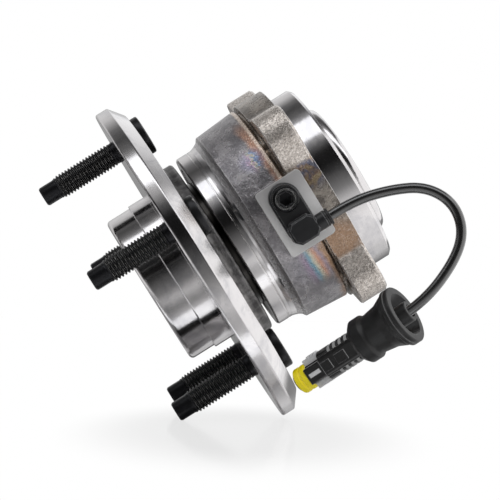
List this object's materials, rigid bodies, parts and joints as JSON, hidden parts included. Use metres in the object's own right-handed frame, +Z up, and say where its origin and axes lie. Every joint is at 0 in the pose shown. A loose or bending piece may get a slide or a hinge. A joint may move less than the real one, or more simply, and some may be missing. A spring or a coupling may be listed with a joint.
{
  "type": "wheel hub bearing",
  "caption": "Driven wheel hub bearing with a wheel flange and studs, two ball rows, bolt-on carrier, internal drive spline, and a wheel speed sensor on a short lead with its plug.",
  "frame": {"origin": "centre of the knuckle bolt pattern, on the spin axis in the face that seats on the knuckle", "axes": "+X along the spin axis, inboard towards the vehicle; +Z up as installed; the sensor is on the -Y side"},
  "size_m": [0.1643, 0.1768, 0.1768],
  "materials": {
    "carrier_steel": "heat-tinted forged steel with turned bands",
    "hub_steel": "turned steel",
    "stud_black": "black phosphated steel",
    "race_steel": "ground bearing steel",
    "ball_steel": "polished bearing steel",
    "cage_plastic": "glass-filled polyamide",
    "seal_steel": "pressed stainless sheet",
    "seal_rubber": "nitrile rubber",
    "tone_steel": "sintered steel",
    "sensor_plastic": "black moulded polyamide",
    "screw_black": "blackened steel",
    "bush_steel": "plated steel",
    "o_ring_rubber": "soft rubber",
    "lead_sheath": "smooth black sheath",
    "boot_rubber": "matte moulded rubber",
    "plug_plastic": "black moulded plastic",
    "plug_seal": "yellow silicone rubber",
    "plug_clip": "grey moulded plastic",
    "terminal_metal": "tinned brass"
  },
  "bodies": {
    "fixed_side": {"carrier": "carrier_steel", "outboard_seal_case": "seal_steel", "outboard_seal_lips": "seal_rubber", "inboard_seal_case": "seal_steel", "inboard_seal_lips": "seal_rubber", "sensor_housing": "sensor_plastic", "sensor_o_ring": "o_ring_rubber", "sensor_bush": "bush_steel", "sensor_screw": "screw_black", "strain_relief": "boot_rubber", "sensor_lead": "lead_sheath", "cable_boot": "boot_rubber", "cable_sleeve": "boot_rubber", "connector_body": "plug_plastic", "connector_seal": "plug_seal", "connector_clip": "plug_clip", "connector_terminals": "terminal_metal"},
    "wheel_side": {"hub": "hub_steel", "wheel_studs": "stud_black", "inner_ring": "race_steel", "tone_ring": "tone_steel", "outboard_slinger": "seal_steel", "inboard_slinger": "seal_steel"},
    "outboard_row": {"outboard_cage": "cage_plastic", "outboard_balls": "ball_steel"},
    "inboard_row": {"inboard_cage": "cage_plastic", "inboard_balls": "ball_steel"}
  },
  "joints": [
    {"name": "hub_spin", "type": "hinge", "parent": "fixed_side", "child": "wheel_side", "pos_m": [-0.0194, 0, 0], "axis": [1, 0, 0], "continuous": true},
    {"name": "outboard_row_spin", "type": "hinge", "parent": "fixed_side", "child": "outboard_row", "pos_m": [-0.0354, 0, 0], "axis": [1, 0, 0], "continuous": true},
    {"name": "inboard_row_spin", "type": "hinge", "parent": "fixed_side", "child": "inboard_row", "pos_m": [-0.0034, 0, 0], "axis": [1, 0, 0], "continuous": true}
  ],
  "couplings": [
    {"joint": "outboard_row_spin", "follows": "hub_spin", "ratio": 0.428},
    {"joint": "inboard_row_spin", "follows": "hub_spin", "ratio": 0.428}
  ]
}
